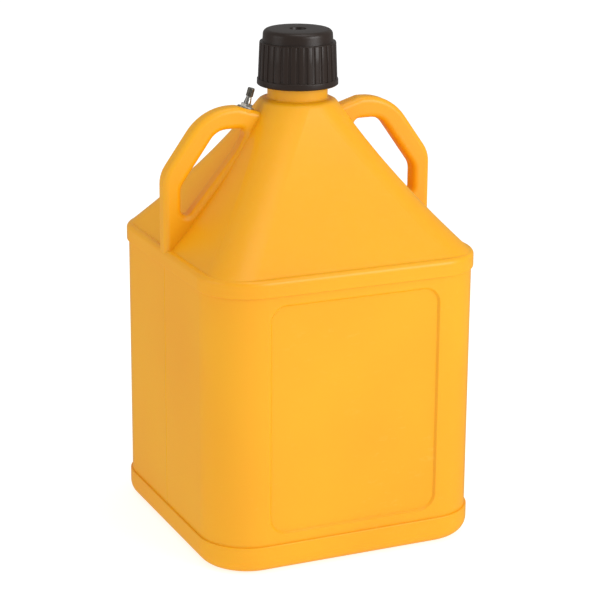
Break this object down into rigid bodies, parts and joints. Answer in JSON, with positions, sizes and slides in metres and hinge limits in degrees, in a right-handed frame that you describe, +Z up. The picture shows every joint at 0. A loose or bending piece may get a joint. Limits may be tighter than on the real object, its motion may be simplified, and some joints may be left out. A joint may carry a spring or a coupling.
{
  "type": "jerry can",
  "caption": "Square upright plastic utility jug with a tapered shoulder, two loop handles, a ribbed screw cap and a small vent valve on one handle.",
  "frame": {"origin": "middle of the base, on the plane that the jug stands on", "axes": "+Z up through the neck, +X towards the handle without the valve, -Y out of the front label panel"},
  "size_m": [0.3704, 0.3704, 0.6457],
  "materials": {
    "yellow_hdpe": "satin blow-moulded polyethylene",
    "black_cap": "satin injection-moulded plastic",
    "black_rubber": "matt",
    "plated_brass": "bright nickel plate",
    "bare_brass": "turned",
    "spring_steel": "drawn wire",
    "dark_plated_cap": "worn nickel plate"
  },
  "bodies": {
    "jug": {"tank": "yellow_hdpe", "valve_stem": "plated_brass", "valve_grommet": "black_rubber", "valve_washer": "plated_brass", "valve_nut": "plated_brass", "valve_core_barrel": "bare_brass", "valve_core_spring": "spring_steel"},
    "gasket": {"cap_gasket": "black_rubber"},
    "cap": {"cap_shell": "black_cap"},
    "core": {"valve_core_pin": "bare_brass", "valve_core_seal": "black_rubber"},
    "dust_seal": {"valve_cap_seal": "black_rubber"},
    "dust_cap": {"valve_cap": "dark_plated_cap"}
  },
  "joints": [
    {"name": "cap_lift", "type": "slide", "parent": "jug", "child": "gasket", "axis": [0, 0, 1], "range_m": [0, 0.01138]},
    {"name": "cap_turn", "type": "hinge", "parent": "gasket", "child": "cap", "pos_m": [0, 0, 0.6], "axis": [0, 0, 1], "range_deg": [0, 630]},
    {"name": "dust_cap_lift", "type": "slide", "parent": "jug", "child": "dust_seal", "axis": [0.2924, 0, 0.9563], "range_m": [0, 0.00317]},
    {"name": "dust_cap_turn", "type": "hinge", "parent": "dust_seal", "child": "dust_cap", "pos_m": [-0.06407, 0, 0.57091], "axis": [0.2924, 0, 0.9563], "range_deg": [0, 1440]},
    {"name": "core_press", "type": "slide", "parent": "jug", "child": "core", "axis": [-0.2924, 0, -0.9563], "range_m": [0, 0.0012], "stiffness_N_per_m": 200, "springref_m": -0.003, "deforming": ["valve_core_spring"]}
  ],
  "couplings": [
    {"joint": "cap_lift", "follows": "cap_turn", "m_per_rad": 0.0010345},
    {"joint": "dust_cap_turn", "follows": "dust_cap_lift", "rad_per_m": 7913.3}
  ]
}
